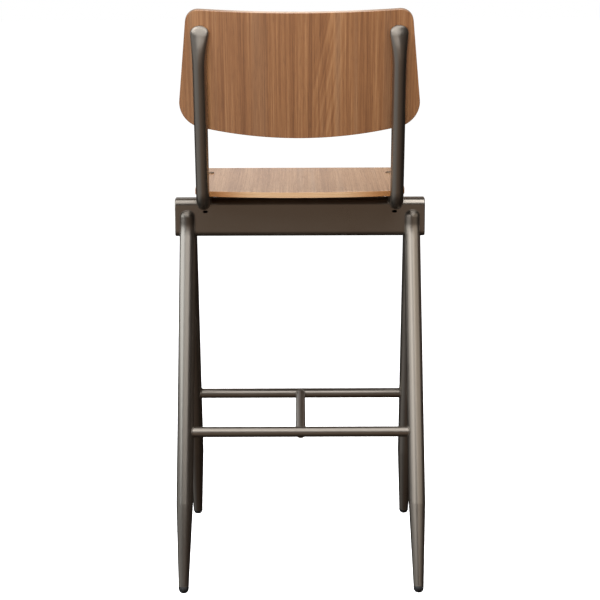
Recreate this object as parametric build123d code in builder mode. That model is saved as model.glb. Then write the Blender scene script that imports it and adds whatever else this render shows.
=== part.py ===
from build123d import *
import os
from math import cos, radians, sin, sqrt, tan

os.makedirs("parts", exist_ok=True)

# Sizes in millimetres. The stool stands on the floor at z = 0 and faces -Y; +X is the sitter's left.

# cross rail: a closed rectangular tube across the stool, under the rear half of the seat
rail_y = 27.2
rail_depth = 46.0
rail_height = 72.8
rail_bottom = 648.2
rail_tube_length = 477.0
rail_wall = 2.0
rail_corner = 12.0
cap_thickness = 3.0
cap_rounding = 2.0
vent_length = 9.5
vent_height = 5.0
vent_z = 697.0

# legs: round tube, tapered towards the floor, bent upright at the top and let into the rail's face
leg_radius = 15.9
leg_wall = 2.0
leg_end_radius = 9.75
leg_start = 11.0
leg_taper = 155.0
leg_foot_x = 222.2
leg_top_x = 217.0
leg_sink = 8.0
leg_bend = 80.0
leg_bend_z = 658.5
leg_top_z = 687.0
leg_dome = 14.5
rear_foot_y = 256.2
front_foot_y = -235.8
tip_centre = 8.6
tip_spigot_radius = 7.6
tip_spigot_length = 14.0

# footrest: a bar between each pair of legs and a centre bar that runs a little under the rear one
bar_radius = 10.0
bar_wall = 1.5
front_bar_z = 292.5
rear_bar_z = 288.5
centre_bar_radius = 9.5
centre_bar_drop = 3.5

# back posts: each one bends forward at seat height and carries the seat as an arm
post_radius = 12.7
post_wall = 2.0
post_x = 182.4
post_datum_y = 135.2
post_datum_z = 760.0
post_lean = 13.2
post_bend = 34.0
arm_front_y = -206.0
flat_start = 225.0
plug_head = 4.0
plug_spigot = 16.0

# seat board
seat_thickness = 11.0
seat_gap = 0.05
seat_rear_y = 120.2
seat_rear_top = 743.5
seat_pitch = 1.15
seat_roll_y = -211.6
seat_roll_radius = 90.0
seat_roll_angle = 35.0
seat_rear_corner = 40.0
seat_front_corner = 45.0

# backrest board, heights measured up the posts from their datum
back_thickness = 11.0
back_radius = 750.0
back_top = 331.4
back_bottom = 94.7
back_top_corner = 26.0
back_bottom_corner = 44.0

# screws and the insert nuts they go into
screw_radius = 3.0
screw_head_radius = 8.75
screw_head_height = 1.8
screw_head_rounding = 0.8
screw_length = 21.0
screw_clearance = 3.3
socket_radius = 2.3
socket_depth = 2.6
nut_radius = 4.5
nut_length = 10.0
seat_screw_y = (-139.0, 60.0)
back_screw_heights = (142.0, 284.0)
back_screw_lift = 0.06

RISE = (Align.CENTER, Align.CENTER, Align.MIN)
SINK = (Align.CENTER, Align.CENTER, Align.MAX)


def save(shape, node):
    """Names a finished piece and writes it out."""
    shape.label = node
    export_step(shape, f"parts/{node}.step")


def seat_top(y):
    """Height of the seat's flat top at a station along the stool."""
    return seat_rear_top + (seat_rear_y - y) * tan(radians(seat_pitch))


def seat_plane(y):
    """Plane on the seat's top over the left arm, z square to the board."""
    tilt = radians(seat_pitch)
    return Plane((post_x, y, seat_top(y)), x_dir=(1, 0, 0), z_dir=(0, sin(tilt), cos(tilt)))


def both_sides(planes):
    """Planes on the left of the stool, followed by their mirror images on the right."""
    return planes + [
        Plane(
            Vector(-p.origin.X, p.origin.Y, p.origin.Z),
            x_dir=Vector(-p.x_dir.X, p.x_dir.Y, p.x_dir.Z),
            z_dir=Vector(-p.z_dir.X, p.z_dir.Y, p.z_dir.Z),
        )
        for p in planes
    ]


def leg_frame(foot_y, top_y):
    """Frame of a left leg: origin where its axis meets the floor, z up its straight."""
    foot = Vector(leg_foot_x, foot_y, 0)
    return Plane(foot, x_dir=(1, 0, 0), z_dir=Vector(leg_top_x, top_y, leg_bend_z) - foot)


def along_leg(frame, z):
    """Point of a leg's axis at a height above the floor."""
    return frame.origin + frame.z_dir * (z / frame.z_dir.Z)


# The back posts lean in this direction; the backrest's hollow side looks along back_normal.
lean = radians(post_lean)
post_up = Vector(0, sin(lean), cos(lean))
back_normal = Vector(0, -cos(lean), sin(lean))
post_datum = Vector(post_x, post_datum_y, post_datum_z)

# The posts touch the bent backrest along its outside, so each one is turned to face the centre of its bend.
bend_reach = back_radius + post_radius
bend_centre = sqrt(bend_reach**2 - post_x**2)
post_face = Vector(-post_x / bend_reach, 0, 0) + back_normal * (bend_centre / bend_reach)
post_frame = Plane(post_datum, x_dir=post_face.cross(post_up), z_dir=post_up)

# Arm and post centre lines in side view, and the corner where they would meet.
pitch_rise = tan(radians(seat_pitch))
arm_drop = (seat_thickness + seat_gap + post_radius) / cos(radians(seat_pitch))
lean_run = tan(lean)
corner_z = (
    seat_top(post_datum_y - post_datum_z * lean_run) - arm_drop
) / (1 + pitch_rise * lean_run)
corner_y = post_datum_y + (corner_z - post_datum_z) * lean_run
arm_front_z = seat_top(arm_front_y) - arm_drop
flat_point = post_datum + post_up * flat_start

rail_rear = rail_y + rail_depth / 2
rail_front = rail_y - rail_depth / 2
rail_mid_z = rail_bottom + rail_height / 2
rail_end = rail_tube_length / 2
rear_leg_y = rail_rear - leg_sink
front_leg_y = rail_front + leg_sink
rear_leg_frame = leg_frame(rear_foot_y, rear_leg_y)
front_leg_frame = leg_frame(front_foot_y, front_leg_y)
rail_section = Plane((0, rail_y, rail_mid_z), x_dir=(0, 1, 0), z_dir=(1, 0, 0))

# Shapes that only cut other pieces: the rail's outside, the arms as round bars, and the legs as round bars.
with BuildPart() as rail_outside:
    with BuildSketch(rail_section):
        RectangleRounded(rail_depth, rail_height, rail_corner)
    extrude(amount=rail_end, both=True)

with BuildLine(Plane((post_x, 0, 0), x_dir=(0, 1, 0), z_dir=(1, 0, 0))) as post_path:
    FilletPolyline(
        (arm_front_y, arm_front_z),
        (corner_y, corner_z),
        (flat_point.Y, flat_point.Z),
        radius=post_bend,
    )
arm_start = Plane(post_path.line @ 0, x_dir=(1, 0, 0), z_dir=post_path.line % 0)

with BuildPart() as arms_outside:
    with BuildSketch(arm_start):
        Circle(post_radius)
    sweep(path=post_path.line)
    mirror(about=Plane.YZ)

with BuildPart() as legs_outside:
    with Locations(rear_leg_frame, front_leg_frame):
        Cylinder(leg_radius, leg_bend_z, align=RISE)
    mirror(about=Plane.YZ)

# Cross rail: hollow, with a half-round saddle for each arm and a vent slot in the rear wall below it.
with BuildPart() as cross_rail:
    with BuildSketch(rail_section):
        RectangleRounded(rail_depth, rail_height, rail_corner)
        RectangleRounded(
            rail_depth - 2 * rail_wall,
            rail_height - 2 * rail_wall,
            rail_corner - rail_wall,
            mode=Mode.SUBTRACT,
        )
    extrude(amount=rail_end, both=True)
    add(arms_outside.part, mode=Mode.SUBTRACT)
    with BuildSketch(Plane((0, rail_rear, vent_z), x_dir=(-1, 0, 0), z_dir=(0, 1, 0))):
        with Locations((-post_x, 0), (post_x, 0)):
            SlotOverall(vent_length, vent_height)
    extrude(amount=-2 * rail_wall, mode=Mode.SUBTRACT)
save(cross_rail.part, "cross_rail")

with BuildPart() as rail_end_cap_left:
    with BuildSketch(rail_section.offset(rail_end)):
        RectangleRounded(rail_depth, rail_height, rail_corner)
    extrude(amount=cap_thickness)
    fillet(rail_end_cap_left.faces().sort_by(Axis.X)[-1].edges(), cap_rounding)
save(rail_end_cap_left.part, "rail_end_cap_left")

with BuildPart() as rail_end_cap_right:
    mirror(rail_end_cap_left.part, about=Plane.YZ)
save(rail_end_cap_right.part, "rail_end_cap_right")

# Legs and their foot tips. A leg's bent top ends in a dome, and what would lie inside the rail is cut away.
# A tip has a round bottom with a flat on the floor and a spigot up the tube.
for place, frame, top_y in (
    ("rear", rear_leg_frame, rear_leg_y),
    ("front", front_leg_frame, front_leg_y),
):
    taper_top = frame.offset(leg_start + leg_taper)
    run = Vector(leg_top_x, top_y) - Vector(leg_foot_x, frame.origin.Y)
    side_view = Plane(frame.origin, x_dir=run, z_dir=run.cross(Vector(0, 0, 1)))
    straight_start = side_view.to_local_coords(taper_top.origin)
    with BuildLine(side_view) as leg_path:
        FilletPolyline(
            (straight_start.X, straight_start.Y),
            (run.length, leg_bend_z),
            (run.length, leg_top_z),
            radius=leg_bend,
        )

    with BuildPart() as leg_left:
        with Locations(frame.offset(leg_start)):
            Cone(leg_end_radius, leg_radius, leg_taper, align=RISE)
            Cone(
                leg_end_radius - leg_wall,
                leg_radius - leg_wall,
                leg_taper,
                align=RISE,
                mode=Mode.SUBTRACT,
            )
        with BuildSketch(taper_top):
            Circle(leg_radius)
            Circle(leg_radius - leg_wall, mode=Mode.SUBTRACT)
        sweep(path=leg_path.line)
        with BuildSketch(Plane((leg_top_x, top_y, leg_top_z), x_dir=(0, 1, 0), z_dir=(1, 0, 0))):
            with BuildLine():
                EllipticalCenterArc((0, 0), leg_radius, leg_dome, start_angle=0, arc_size=90)
                Polyline((0, leg_dome), (0, 0), (leg_radius, 0))
            make_face()
        revolve(axis=Axis((leg_top_x, top_y, 0), (0, 0, 1)))
        add(rail_outside.part, mode=Mode.SUBTRACT)
    save(leg_left.part, f"{place}_leg_left")

    with BuildPart() as leg_right:
        mirror(leg_left.part, about=Plane.YZ)
    save(leg_right.part, f"{place}_leg_right")

    with BuildPart() as tip_left:
        with Locations(frame.offset(tip_centre)):
            Sphere(leg_end_radius, arc_size1=-90, arc_size2=0, align=SINK)
            Cylinder(leg_end_radius, leg_start - tip_centre, align=RISE)
        with Locations(frame.offset(leg_start)):
            Cylinder(tip_spigot_radius, tip_spigot_length, align=RISE)
        split(bisect_by=Plane.XY, keep=Keep.TOP)
    save(tip_left.part, f"{place}_foot_tip_left")

    with BuildPart() as tip_right:
        mirror(tip_left.part, about=Plane.YZ)
    save(tip_right.part, f"{place}_foot_tip_right")

# Footrest: two cross bars coped between the legs, and a centre bar coped between the cross bars.
bar_ends = [along_leg(front_leg_frame, front_bar_z), along_leg(rear_leg_frame, rear_bar_z)]
bar_sections = [Plane((0, end.Y, end.Z), x_dir=(0, 1, 0), z_dir=(1, 0, 0)) for end in bar_ends]
for place, end, section in zip(("front", "rear"), bar_ends, bar_sections):
    with BuildPart() as cross_bar:
        with BuildSketch(section):
            Circle(bar_radius)
            Circle(bar_radius - bar_wall, mode=Mode.SUBTRACT)
        extrude(amount=end.X, both=True)
        add(legs_outside.part, mode=Mode.SUBTRACT)
    save(cross_bar.part, f"footrest_{place}_bar")

with BuildPart() as footrest_centre_bar:
    centre_start = bar_sections[0].origin
    centre_run = bar_sections[1].origin - Vector(0, 0, centre_bar_drop) - centre_start
    with BuildSketch(Plane(centre_start, x_dir=(1, 0, 0), z_dir=centre_run)):
        Circle(centre_bar_radius)
        Circle(centre_bar_radius - bar_wall, mode=Mode.SUBTRACT)
    extrude(amount=centre_run.length)
    with BuildSketch(*bar_sections):
        Circle(bar_radius)
    extrude(amount=4 * bar_radius, both=True, mode=Mode.SUBTRACT)
save(footrest_centre_bar.part, "footrest_centre_bar")

# Seat screws and nuts stand square to the seat; backrest screws point at each post from the hollow side.
seat_fix = [seat_plane(y) for y in seat_screw_y]
back_fix = [
    Plane(
        post_datum + post_up * height + post_face * (post_radius + back_thickness),
        x_dir=post_up,
        z_dir=post_face,
    )
    for height in back_screw_heights
]

# Back post with its arm: hollow tube, pressed flat at the top so that it lies against the backrest.
flat_sections = (
    (0.0, 12.7, 12.7),
    (12.0, 12.9, 12.5),
    (25.0, 13.5, 11.85),
    (38.0, 14.5, 10.75),
    (50.0, 15.8, 9.25),
    (60.0, 17.0, 7.7),
    (66.0, 17.3, 6.6),
    (71.0, 15.9, 5.3),
    (74.5, 13.0, 4.4),
    (77.0, 8.8, 3.5),
    (78.2, 5.0, 3.0),
)
with BuildPart() as back_post_left:
    with BuildSketch(arm_start):
        Circle(post_radius)
        Circle(post_radius - post_wall, mode=Mode.SUBTRACT)
    sweep(path=post_path.line)
    for rise, half_width, half_depth in flat_sections:
        with BuildSketch(post_frame.offset(flat_start + rise)):
            with Locations((0, post_radius - half_depth)):
                Ellipse(half_width, half_depth)
    loft()
    for rise, half_width, half_depth in flat_sections[:7]:
        with BuildSketch(post_frame.offset(flat_start + rise)):
            with Locations((0, post_radius - half_depth)):
                Ellipse(half_width - post_wall, half_depth - post_wall)
    loft(mode=Mode.SUBTRACT)
    with Locations(*[plane.offset(-seat_thickness) for plane in seat_fix]):
        Cylinder(nut_radius, nut_length, align=SINK, mode=Mode.SUBTRACT)
    with Locations(*[plane.offset(-back_thickness) for plane in back_fix]):
        Cylinder(nut_radius, nut_length, align=SINK, mode=Mode.SUBTRACT)
save(back_post_left.part, "back_post_left")

with BuildPart() as back_post_right:
    mirror(back_post_left.part, about=Plane.YZ)
save(back_post_right.part, "back_post_right")

with BuildPart() as arm_end_plug_left:
    with Locations(arm_start):
        Cylinder(post_radius, plug_head, align=SINK)
    fillet(arm_end_plug_left.faces().sort_by(Axis.Y)[0].edges(), plug_head - 0.5)
    with Locations(arm_start):
        Cylinder(post_radius - post_wall, plug_spigot, align=RISE)
save(arm_end_plug_left.part, "arm_end_plug_left")

with BuildPart() as arm_end_plug_right:
    mirror(arm_end_plug_left.part, about=Plane.YZ)
save(arm_end_plug_right.part, "arm_end_plug_right")

# Seat board: flat with a front edge that rolls down, cut to its plan outline.
roll_tilt = 180 - seat_pitch
with BuildPart() as seat_panel:
    with BuildSketch(Plane.YZ):
        with BuildLine():
            rear_y = seat_rear_y + 20
            start = Vector(seat_roll_y, seat_top(seat_roll_y))
            down = Vector(-sin(radians(seat_pitch)), -cos(radians(seat_pitch))) * seat_thickness
            rear = Vector(rear_y, seat_top(rear_y))
            Line(rear, start)
            heading = Vector(cos(radians(roll_tilt)), sin(radians(roll_tilt)))
            upper = JernArc(start, heading, seat_roll_radius, seat_roll_angle)
            lower = JernArc(start + down, heading, seat_roll_radius - seat_thickness, seat_roll_angle)
            Line(upper @ 1, lower @ 1)
            Line(start + down, rear + down)
            Line(rear + down, rear)
        make_face()
    extrude(amount=240, both=True)
    with BuildSketch(Plane.XY.offset(seat_rear_top - 60)) as seat_plan:
        with BuildLine():
            ThreePointArc((-200, 94), (0, seat_rear_y), (200, 94))
            Line((200, 94), (206.5, -250))
            ThreePointArc((206.5, -250), (0, -263), (-206.5, -250))
            Line((-206.5, -250), (-200, 94))
        make_face()
        fillet(seat_plan.vertices().group_by(Axis.Y)[-1], seat_rear_corner)
        fillet(seat_plan.vertices().group_by(Axis.Y)[0], seat_front_corner)
    extrude(amount=120, mode=Mode.INTERSECT)
    with Locations(*both_sides(seat_fix)):
        Hole(screw_clearance, 2 * seat_thickness)
save(seat_panel.part, "seat_panel")

# Backrest board: bent sideways round an axis that leans with the posts, cut to its outline.
back_plane = Plane((0, post_datum_y, post_datum_z), x_dir=(1, 0, 0), z_dir=back_normal)
back_section = Plane((0, post_datum_y, post_datum_z), x_dir=(-1, 0, 0), z_dir=post_up)
with BuildPart() as backrest_panel:
    with BuildSketch(back_section.offset(back_bottom - 10)):
        with BuildLine():
            outside = CenterArc((0, bend_centre), back_radius, -110, 40)
            inside = CenterArc((0, bend_centre), back_radius - back_thickness, -110, 40)
            Line(outside @ 0, inside @ 0)
            Line(outside @ 1, inside @ 1)
        make_face()
    extrude(amount=back_top - back_bottom + 20)
    with BuildSketch(back_plane.offset(-60)) as back_outline:
        with BuildLine():
            Line((-205.3, back_top), (205.3, back_top))
            Line((205.3, back_top), (227, 116))
            ThreePointArc((227, 116), (0, back_bottom), (-227, 116))
            Line((-227, 116), (-205.3, back_top))
        make_face()
        fillet(back_outline.vertices().group_by(Axis.Y)[-1], back_top_corner)
        fillet(back_outline.vertices().group_by(Axis.Y)[0], back_bottom_corner)
    extrude(amount=160, mode=Mode.INTERSECT)
    with Locations(*[plane.offset(1) for plane in both_sides(back_fix)]):
        Hole(screw_clearance, 2 * back_thickness)
save(backrest_panel.part, "backrest_panel")

# A screw with a wide flat head and a hexagon socket; its head stands on z = 0.
with BuildPart() as screw:
    Cylinder(screw_radius, screw_length, align=SINK)
    Cylinder(screw_head_radius, screw_head_height, align=RISE)
    fillet(screw.faces().sort_by(Axis.Z)[-1].edges(), screw_head_rounding)
    with BuildSketch(Plane.XY.offset(screw_head_height)):
        RegularPolygon(socket_radius, 6)
    extrude(amount=-socket_depth, mode=Mode.SUBTRACT)

# Four screws and four plain round insert nuts per board. The backrest's heads bridge its hollow.
for board, planes, lift, thickness in (
    ("seat", both_sides(seat_fix), 0, seat_thickness),
    ("backrest", both_sides(back_fix), back_screw_lift, back_thickness),
):
    with BuildPart() as screws:
        with Locations(*[plane.offset(lift) for plane in planes]):
            add(screw.part)
    save(screws.part, f"{board}_screws")

    with BuildPart() as nuts:
        with Locations(*[plane.offset(-thickness) for plane in planes]):
            Cylinder(nut_radius, nut_length, align=SINK)
            Cylinder(screw_radius, nut_length, align=SINK, mode=Mode.SUBTRACT)
    save(nuts.part, f"{board}_insert_nuts")
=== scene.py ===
"""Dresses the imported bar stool: its boards, screws and welds, every finish, the studio and the camera.

Lengths are metres in the stool's own frame: +Z is up, the sitter faces -Y and has +X on the left.
"""

import logging
from collections.abc import Callable, Sequence
from dataclasses import dataclass, replace
from enum import Enum
from math import cos, pi, radians, sin, sqrt, tan

import bpy
import numpy as np
from mathutils import Matrix, Vector

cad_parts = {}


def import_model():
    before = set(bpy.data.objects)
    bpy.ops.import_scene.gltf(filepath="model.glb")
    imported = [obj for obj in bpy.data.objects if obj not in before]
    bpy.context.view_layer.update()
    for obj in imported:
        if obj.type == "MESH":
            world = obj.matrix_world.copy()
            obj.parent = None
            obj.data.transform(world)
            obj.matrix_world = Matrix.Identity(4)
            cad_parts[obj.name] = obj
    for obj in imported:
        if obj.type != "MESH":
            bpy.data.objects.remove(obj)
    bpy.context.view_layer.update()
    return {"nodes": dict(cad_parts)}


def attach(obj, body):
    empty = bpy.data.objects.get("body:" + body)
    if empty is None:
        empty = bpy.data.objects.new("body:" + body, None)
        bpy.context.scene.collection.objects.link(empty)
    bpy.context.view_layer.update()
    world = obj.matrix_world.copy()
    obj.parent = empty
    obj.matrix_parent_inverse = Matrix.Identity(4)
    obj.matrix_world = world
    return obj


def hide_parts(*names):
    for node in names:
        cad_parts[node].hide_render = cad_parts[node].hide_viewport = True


LOG = logging.getLogger("bar_stool")

Value = "Wire | float"
Point = "tuple[Wire, Wire, Wire]"
Colour = tuple[float, float, float, float]
Sockets = dict[str | int, object]
Triple = tuple[float, float, float]
Nodes = dict[str, bpy.types.Object]
Skin = Callable[[np.ndarray], np.ndarray]

BODY = "root"
DEPTH = "depth"
WHITE = (1.0, 1.0, 1.0, 1.0)
MIRROR = np.array([-1.0, 1.0, 1.0])


class Slot(Enum):
    """Material slots of the record, by what they cover."""

    FRAME = "frame_paint"
    SEAT = "seat_veneer"
    BACK = "back_veneer"
    TIPS = "tip_plastic"
    SCREWS = "screw_steel"
    NUTS = "nut_steel"


class Side(Enum):
    """A side of the stool, as the sign of its X."""

    LEFT = 1.0
    RIGHT = -1.0


class Place(Enum):
    """Front or rear of the footrest and legs."""

    FRONT = "front"
    REAR = "rear"


def tone(red: float, green: float, blue: float) -> Colour:
    """Turns a screen colour into the linear light that shaders use.

    Args:
        red: red on the screen, 0 to 255
        green: green on the screen, 0 to 255
        blue: blue on the screen, 0 to 255

    Returns:
        The linear colour with full opacity.
    """
    screen = np.array([red, green, blue]) / 255.0
    light = np.where(screen <= 0.04045, screen / 12.92, ((screen + 0.055) / 1.055) ** 2.4)
    return (float(light[0]), float(light[1]), float(light[2]), 1.0)


def unit(vectors: np.ndarray) -> np.ndarray:
    """Vectors scaled to length one, along the last axis."""
    return vectors / np.linalg.norm(vectors, axis=-1, keepdims=True)


class Wire:
    """One output of a shader graph; arithmetic on it adds Math nodes."""

    def __init__(self, graph: "Graph", socket: bpy.types.NodeSocket) -> None:
        """Keeps the graph and the socket that this wire comes from."""
        self.graph = graph
        self.socket = socket

    def __add__(self, other: Value) -> "Wire":
        """This plus other."""
        return self.graph.math("ADD", self, other)

    def __radd__(self, other: Value) -> "Wire":
        """Other plus this."""
        return self.graph.math("ADD", other, self)

    def __sub__(self, other: Value) -> "Wire":
        """This minus other."""
        return self.graph.math("SUBTRACT", self, other)

    def __rsub__(self, other: Value) -> "Wire":
        """Other minus this."""
        return self.graph.math("SUBTRACT", other, self)

    def __mul__(self, other: Value) -> "Wire":
        """This times other."""
        return self.graph.math("MULTIPLY", self, other)

    def __rmul__(self, other: Value) -> "Wire":
        """Other times this."""
        return self.graph.math("MULTIPLY", other, self)

    def __truediv__(self, other: Value) -> "Wire":
        """This divided by other."""
        return self.graph.math("DIVIDE", self, other)

    def __rtruediv__(self, other: Value) -> "Wire":
        """Other divided by this."""
        return self.graph.math("DIVIDE", other, self)


class Graph:
    """Shader nodes of one material or world, written as expressions."""

    def __init__(self, tree: bpy.types.NodeTree) -> None:
        """Empties the tree and builds in it."""
        tree.nodes.clear()
        self.tree = tree

    def node(
        self,
        kind: str,
        settings: dict[str, object] | None = None,
        inputs: Sockets | None = None,
        output: str | int = 0,
    ) -> "Wire | None":
        """Adds any node.

        Args:
            kind: the node's type
            settings: properties set first; "stops" are a ramp's (place, colour) pairs
            inputs: a value or a wire for each named or numbered socket
            output: the output to return, by name or number

        Returns:
            The chosen output, or none where the node has no output.
        """
        made = self.tree.nodes.new(kind)
        for name, value in (settings or {}).items():
            if name == "stops":
                self._set_stops(made.color_ramp.elements, value)
            else:
                setattr(made, name, value)
        for key, value in (inputs or {}).items():
            if isinstance(value, Wire):
                self.tree.links.new(value.socket, made.inputs[key])
            else:
                made.inputs[key].default_value = value
        return Wire(self, made.outputs[output]) if made.outputs else None

    @staticmethod
    def _set_stops(elements: bpy.types.ColorRampElements, stops: Sequence[tuple[float, Colour]]) -> None:
        """Gives a ramp, which starts with two elements, the stops asked for."""
        for _ in stops[2:]:
            elements.new(1.0)
        for element, (place, colour) in zip(elements, stops):
            element.position = place
            element.color = colour

    def math(self, operation: str, first: Value, second: Value) -> Wire:
        """One Math node on two values."""
        return self.node("ShaderNodeMath", {"operation": operation}, {0: first, 1: second})

    def coords(self, turn: float = 0.0) -> Point:
        """Object coordinates turned about X.

        Args:
            turn: angle in radians

        Returns:
            The three turned coordinates, in metres.
        """
        place = self.node("ShaderNodeTexCoord", output="Object")
        inputs = {"Vector": place, "Rotation": (turn, 0.0, 0.0)}
        return self.split(self.node("ShaderNodeMapping", {"vector_type": "POINT"}, inputs))

    def split(self, vector: Wire) -> Point:
        """Takes a vector apart.

        Args:
            vector: the vector

        Returns:
            Its three components.
        """
        first = self.node("ShaderNodeSeparateXYZ", inputs={0: vector})
        outputs = first.socket.node.outputs
        return first, Wire(self, outputs[1]), Wire(self, outputs[2])

    def noise(self, x: Value, y: Value, z: Value, detail: float = 2.0, rough: float = 0.5) -> Wire:
        """Smooth noise at a point whose scale is already in its coordinates.

        Args:
            x: first coordinate, in waves
            y: second coordinate, in waves
            z: third coordinate, in waves
            detail: octaves of finer noise laid over the first
            rough: strength of each octave as a share of the one before

        Returns:
            A value from 0 to 1.
        """
        place = self.node("ShaderNodeCombineXYZ", inputs={0: x, 1: y, 2: z})
        inputs = {"Vector": place, "Scale": 1.0, "Detail": detail, "Roughness": rough}
        return self.node("ShaderNodeTexNoise", inputs=inputs)

    def speckle(self, at: Point, scale: float, detail: float = 2.0) -> Wire:
        """Noise of one scale, in waves to the metre, in all directions."""
        return self.noise(at[0] * scale, at[1] * scale, at[2] * scale, detail)

    def ramp(self, factor: Wire, stops: Sequence[tuple[float, Colour]]) -> Wire:
        """A colour read from a ramp."""
        return self.node("ShaderNodeValToRGB", {"stops": stops}, {0: factor})

    def step(self, value: Value, low: float, high: float) -> Wire:
        """Smooth step from 0 at low to 1 at high."""
        inputs = {"Value": value, "From Min": low, "From Max": high}
        return self.node("ShaderNodeMapRange", {"interpolation_type": "SMOOTHSTEP"}, inputs)

    def size(self, value: Value) -> Wire:
        """A value without its sign."""
        return self.math("ABSOLUTE", value, 0.0)

    def grey(self, level: Wire) -> Wire:
        """A grey of a level."""
        return self.node("ShaderNodeCombineColor", inputs={0: level, 1: level, 2: level})

    def blend(self, first: Wire | Colour, second: Wire | Colour, share: Value, how: str = "MIX") -> Wire:
        """Mixes two colours by a share, in one of the Mix node's ways."""
        settings = {"data_type": "RGBA", "blend_type": how, "clamp_factor": True}
        return self.node("ShaderNodeMix", settings, {0: share, 6: first, 7: second}, output=2)

    def bump(self, height: Wire, depth: float, strength: float) -> Wire:
        """A normal bent by a height from 0 to 1 that stands for depth metres."""
        inputs = {"Height": height, "Distance": depth, "Strength": strength}
        return self.node("ShaderNodeBump", inputs=inputs)


@dataclass(frozen=True)
class Finish:
    """A finish: a name and the inputs of its Principled shader."""

    name: str

    def inputs(self, graph: Graph) -> Sockets:
        """Shader inputs of this finish.

        Args:
            graph: the graph to add nodes to

        Returns:
            A value or wire for each socket that differs from the shader's own.
        """
        raise NotImplementedError

    def build(self) -> bpy.types.Material:
        """Makes the material.

        Returns:
            A material of one Principled shader.
        """
        material = bpy.data.materials.new(self.name)
        material.use_nodes = True
        graph = Graph(material.node_tree)
        shader = graph.node("ShaderNodeBsdfPrincipled", inputs=self.inputs(graph))
        graph.node("ShaderNodeOutputMaterial", inputs={"Surface": shader})
        return material


@dataclass(frozen=True)
class FramePaint(Finish):
    """Satin bronze paint with fine metal flake, a little uneven from spraying.

    Fields: its light and deep tones, its metal and roughness, the heights between which painted shade comes
    in and the darker tone of that shade above them, and the scales, in waves to the metre, of its clouds
    (level and upright), flake and orange peel.
    """

    base: Colour = tone(165, 158, 149)
    deep: Colour = tone(153, 145, 135)
    metallic: float = 0.93
    roughness: float = 0.31
    # Painted shade: the heights over which the colour darkens, and the darker tone it darkens to
    painted_shade_heights: tuple[float, float] | None = None
    darker_tone: Colour = tone(121, 114, 106)
    clouds: tuple[float, float] = (16.0, 7.0)
    flake: float = 1500.0
    peel: float = 420.0

    def inputs(self, graph: Graph) -> Sockets:
        """Paint colour drifts slowly over the tubes and darkens above a height as painted shade; flake
        breaks up its gloss.

        Args:
            graph: the graph to add nodes to

        Returns:
            The paint's shader inputs.
        """
        at = x, y, z = graph.coords()
        wide, high = self.clouds
        cloud = graph.noise(x * wide, y * wide, z * high, detail=3.0)
        flake = graph.speckle(at, self.flake, detail=1.0)
        peel = graph.speckle(at, self.peel)
        colour = graph.blend(self.deep, self.base, cloud * 0.8 + flake * 0.5 - 0.15)
        # Painted shade: above the given heights the colour darkens, standing in for shade on the legs' tops
        # under the seat and rail
        if self.painted_shade_heights:
            colour = graph.blend(colour, self.darker_tone, graph.step(z, *self.painted_shade_heights))
        return {
            "Base Color": colour,
            "Metallic": self.metallic,
            "Roughness": self.roughness + (cloud - 0.5) * 0.08 + (flake - 0.5) * 0.10,
            "Normal": graph.bump(peel * 0.7 + flake * 0.3, 0.00006, 0.35),
        }


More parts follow.
